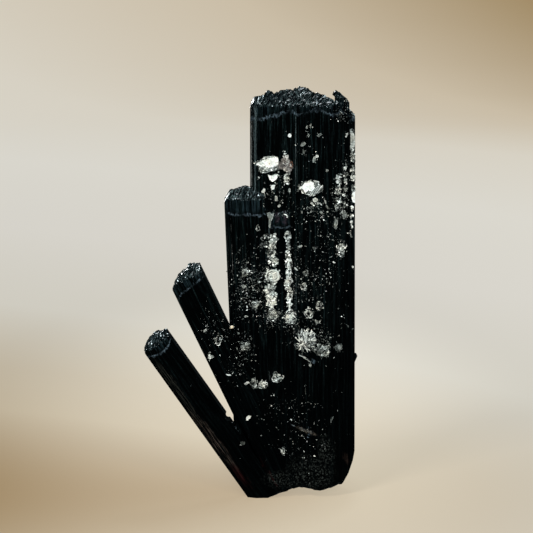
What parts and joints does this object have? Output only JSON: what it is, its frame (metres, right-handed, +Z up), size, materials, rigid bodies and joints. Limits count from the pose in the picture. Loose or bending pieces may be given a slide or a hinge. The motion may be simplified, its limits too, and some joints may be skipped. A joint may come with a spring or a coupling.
{
  "type": "mineral specimen",
  "caption": "Upright natural cluster of striated black tourmaline prisms with rough caps and two leaning side crystals, dotted with silvery rosettes of zinnwaldite mica.",
  "frame": {"origin": "middle of the bounding box, on the plane that the broken root stands on", "axes": "+Z up along the main prisms, -Y towards the front of the cluster, -X towards the leaning crystals"},
  "size_m": [0.0636, 0.0282, 0.1229],
  "materials": {
    "tourmaline": "glossy black, lengthwise striated, rough and etched on the caps",
    "zinnwaldite": "pearly to silvery mica plates",
    "pink_mica": "pearly, pinkish-grey mica plates",
    "feldspar": "dull, cream to pale yellow"
  },
  "bodies": {
    "root": {"tourmaline_crystals": "tourmaline", "zinnwaldite_crown_plate": "zinnwaldite", "zinnwaldite_crown_plate_small": "zinnwaldite", "zinnwaldite_crown_pink_patch": "pink_mica", "zinnwaldite_crown_fringe": "zinnwaldite", "zinnwaldite_shoulder_plate": "zinnwaldite", "zinnwaldite_face_row": "zinnwaldite", "zinnwaldite_edge_row": "zinnwaldite", "zinnwaldite_edge_blade": "zinnwaldite", "zinnwaldite_edge_row_upper": "zinnwaldite", "zinnwaldite_edge_row_lower": "zinnwaldite", "zinnwaldite_edge_rosette_upper": "zinnwaldite", "zinnwaldite_long_book": "zinnwaldite", "zinnwaldite_edge_rosette": "zinnwaldite", "zinnwaldite_ring_high": "zinnwaldite", "zinnwaldite_groove_row_side": "zinnwaldite", "zinnwaldite_groove_row_top": "zinnwaldite", "zinnwaldite_groove_rosette": "zinnwaldite", "zinnwaldite_groove_row_low": "zinnwaldite", "zinnwaldite_groove_tail": "zinnwaldite", "zinnwaldite_ridge_row_top": "zinnwaldite", "zinnwaldite_ridge_row_middle": "zinnwaldite", "zinnwaldite_ridge_row_low": "zinnwaldite", "zinnwaldite_ridge_rosette": "zinnwaldite", "zinnwaldite_face_ring": "zinnwaldite", "zinnwaldite_face_books": "zinnwaldite", "zinnwaldite_face_rosette_low": "zinnwaldite", "zinnwaldite_face_rosette_side": "zinnwaldite", "zinnwaldite_ledge_cluster": "zinnwaldite", "zinnwaldite_ledge_rosette": "zinnwaldite", "zinnwaldite_ledge_plate": "zinnwaldite", "zinnwaldite_root_rosette": "zinnwaldite", "zinnwaldite_root_ring": "zinnwaldite", "zinnwaldite_face_ring_low": "zinnwaldite", "zinnwaldite_stepped_books": "zinnwaldite", "zinnwaldite_stepped_tail": "zinnwaldite", "zinnwaldite_groove_step": "zinnwaldite", "zinnwaldite_lean_ring": "zinnwaldite", "zinnwaldite_lean_edge_plate": "zinnwaldite", "zinnwaldite_root_spark": "zinnwaldite", "zinnwaldite_foot_rosette": "zinnwaldite", "zinnwaldite_back_rosette_high": "zinnwaldite", "zinnwaldite_back_row": "zinnwaldite", "zinnwaldite_back_plate": "zinnwaldite", "zinnwaldite_back_rosette_low": "zinnwaldite", "zinnwaldite_back_groove_row": "zinnwaldite", "zinnwaldite_back_ring": "zinnwaldite", "feldspar_grain": "feldspar"}
  },
  "joints": []
}
